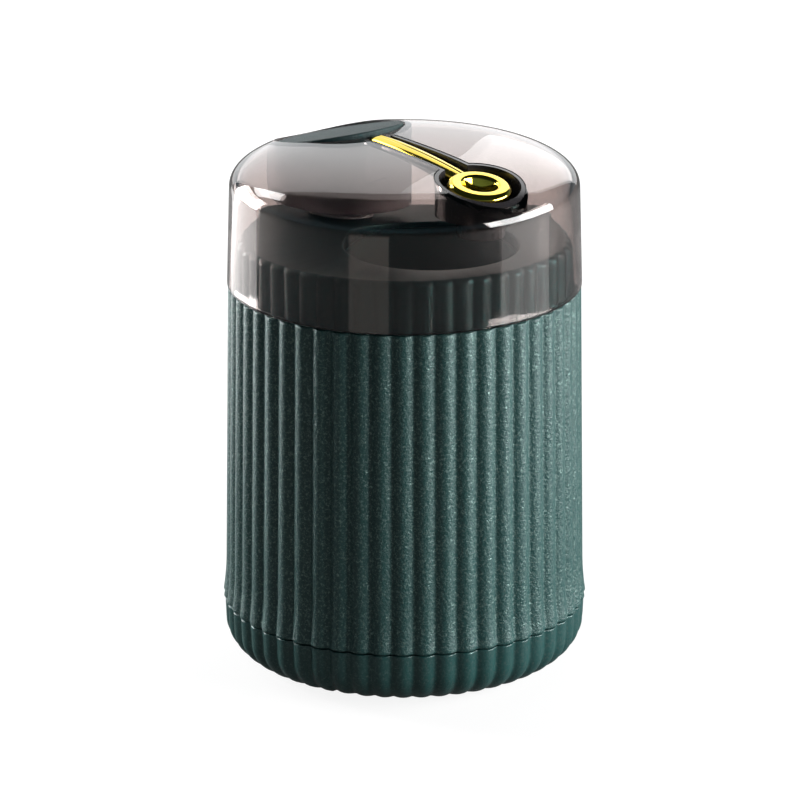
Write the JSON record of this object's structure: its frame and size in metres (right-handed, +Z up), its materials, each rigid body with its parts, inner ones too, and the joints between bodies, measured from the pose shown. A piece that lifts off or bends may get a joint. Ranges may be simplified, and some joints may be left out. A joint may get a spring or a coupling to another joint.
{
  "type": "toothpick dispenser",
  "caption": "Fluted round toothpick dispenser with a smoked dome lid; pressing the oval button lifts a single pick through the gold outlet ring.",
  "frame": {"origin": "centre of the footprint, on the surface that the foot pads rest on", "axes": "+Z up along the axis of the body, -Y towards the front where the outlet ring is, +Y towards the button, +X to the right seen from the front"},
  "size_m": [0.0688, 0.0688, 0.1002],
  "materials": {
    "matte_green": "fine-textured matte moulding in dark green with a faint metallic fleck",
    "smoked_clear": "polished see-through plastic in a warm smoke grey",
    "gold_plating": "mirror-bright gold-coloured plating",
    "charcoal": "smooth dark charcoal moulding",
    "grey_nylon": "natural grey sliding-grade plastic",
    "steel": "bright stainless steel",
    "pad_rubber": "dull dark grey rubber"
  },
  "bodies": {
    "body": {"body_shell": "matte_green", "neck_deck": "matte_green", "rod_guide": "grey_nylon", "bin_liner": "matte_green", "liner_screw_1": "steel", "liner_screw_2": "steel", "base_cup": "matte_green", "base_screw_1": "steel", "base_screw_2": "steel", "base_screw_3": "steel", "foot_pad_1": "pad_rubber", "foot_pad_2": "pad_rubber", "foot_pad_3": "pad_rubber", "rocker_axle": "steel", "return_spring": "steel"},
    "lid": {"lid_shell": "smoked_clear", "trim_tray": "charcoal", "gold_trim": "gold_plating", "outlet_funnel": "charcoal", "button_spring": "steel"},
    "button": {"button_cap": "matte_green", "button_stem": "grey_nylon", "button_clip": "steel"},
    "push_rod": {"push_rod": "grey_nylon"},
    "rocker": {"rocker": "grey_nylon"},
    "lifter": {"lifter": "steel"}
  },
  "joints": [
    {"name": "lid_lift", "type": "slide", "parent": "body", "child": "lid", "axis": [0, 0, 1], "range_m": [0, 0.03]},
    {"name": "button_press", "type": "slide", "parent": "lid", "child": "button", "axis": [0, 0, -1], "range_m": [0, 0.004], "stiffness_N_per_m": 200, "springref_m": -0.004, "deforming": ["button_spring"]},
    {"name": "push_rod_slide", "type": "slide", "parent": "body", "child": "push_rod", "axis": [0, 0, -1], "range_m": [0, 0.004]},
    {"name": "rocker_pivot", "type": "hinge", "parent": "body", "child": "rocker", "pos_m": [0, 0.0075, 0.011], "axis": [-1, 0, 0], "range_deg": [0, 18.41], "deforming": ["return_spring"]},
    {"name": "lifter_slide", "type": "slide", "parent": "body", "child": "lifter", "axis": [0, 0, 1], "range_m": [0, 0.0096]}
  ],
  "couplings": [
    {"joint": "push_rod_slide", "follows": "button_press", "ratio": 1},
    {"joint": "rocker_pivot", "follows": "button_press", "rad_per_m": 80.34},
    {"joint": "lifter_slide", "follows": "button_press", "ratio": 2.4}
  ]
}
